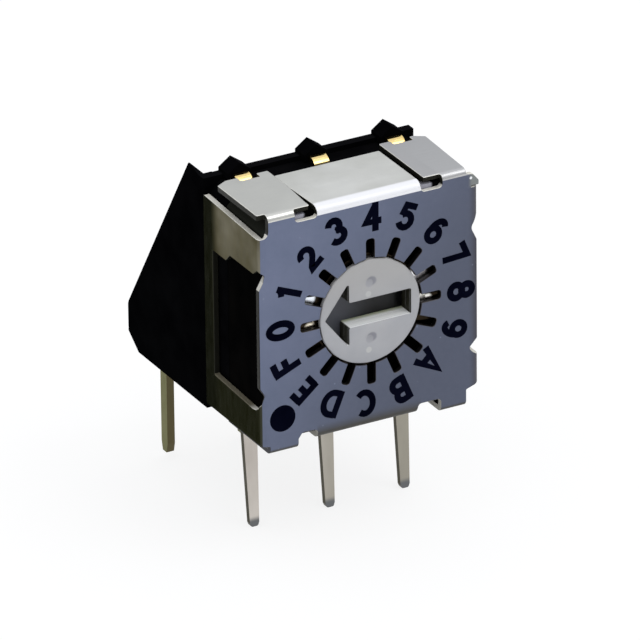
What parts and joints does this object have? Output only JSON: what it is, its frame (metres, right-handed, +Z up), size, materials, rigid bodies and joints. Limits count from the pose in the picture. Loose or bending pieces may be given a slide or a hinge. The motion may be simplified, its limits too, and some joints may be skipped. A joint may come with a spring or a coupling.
{
  "type": "rotary dip switch",
  "caption": "Square rotary code switch: an arrow-slotted dial in a slotted, folded metal cover, on a black right-angle bracket with pins for a circuit board.",
  "frame": {"origin": "the surface of the circuit board, midway between the two rows of pins, in the middle of each row", "axes": "+Z up from the board, -Y the way the dial faces, +X to the right as the dial is read"},
  "size_m": [0.0073, 0.0084, 0.0116],
  "materials": {
    "cover_steel": "satin tin plate, with matt blue-grey paint on the face",
    "black_moulding": "moulded satin",
    "base_moulding": "moulded satin",
    "white_moulding": "moulded satin",
    "seal_rubber": "matt",
    "spring_steel": "rolled",
    "gold_plate": "gold plate",
    "tinned_bronze": "tin plate"
  },
  "bodies": {
    "switch_body": {"metal_cover": "cover_steel", "housing": "black_moulding", "contact_base": "base_moulding", "terminal_upper_left": "gold_plate", "terminal_upper_centre": "gold_plate", "terminal_upper_right": "gold_plate", "terminal_lower_left": "tinned_bronze", "terminal_lower_centre": "tinned_bronze", "terminal_lower_right": "tinned_bronze", "bracket": "black_moulding", "bracket_pin_left": "tinned_bronze", "bracket_pin_centre": "tinned_bronze", "bracket_pin_right": "tinned_bronze"},
    "dial": {"rotor": "white_moulding", "code_disc": "gold_plate", "detent_spring": "spring_steel", "seal_ring": "seal_rubber"}
  },
  "joints": [
    {"name": "rotor_spin", "type": "hinge", "parent": "switch_body", "child": "dial", "pos_m": [0, -0.00549, 0.00374], "axis": [0, 1, 0], "continuous": true}
  ]
}
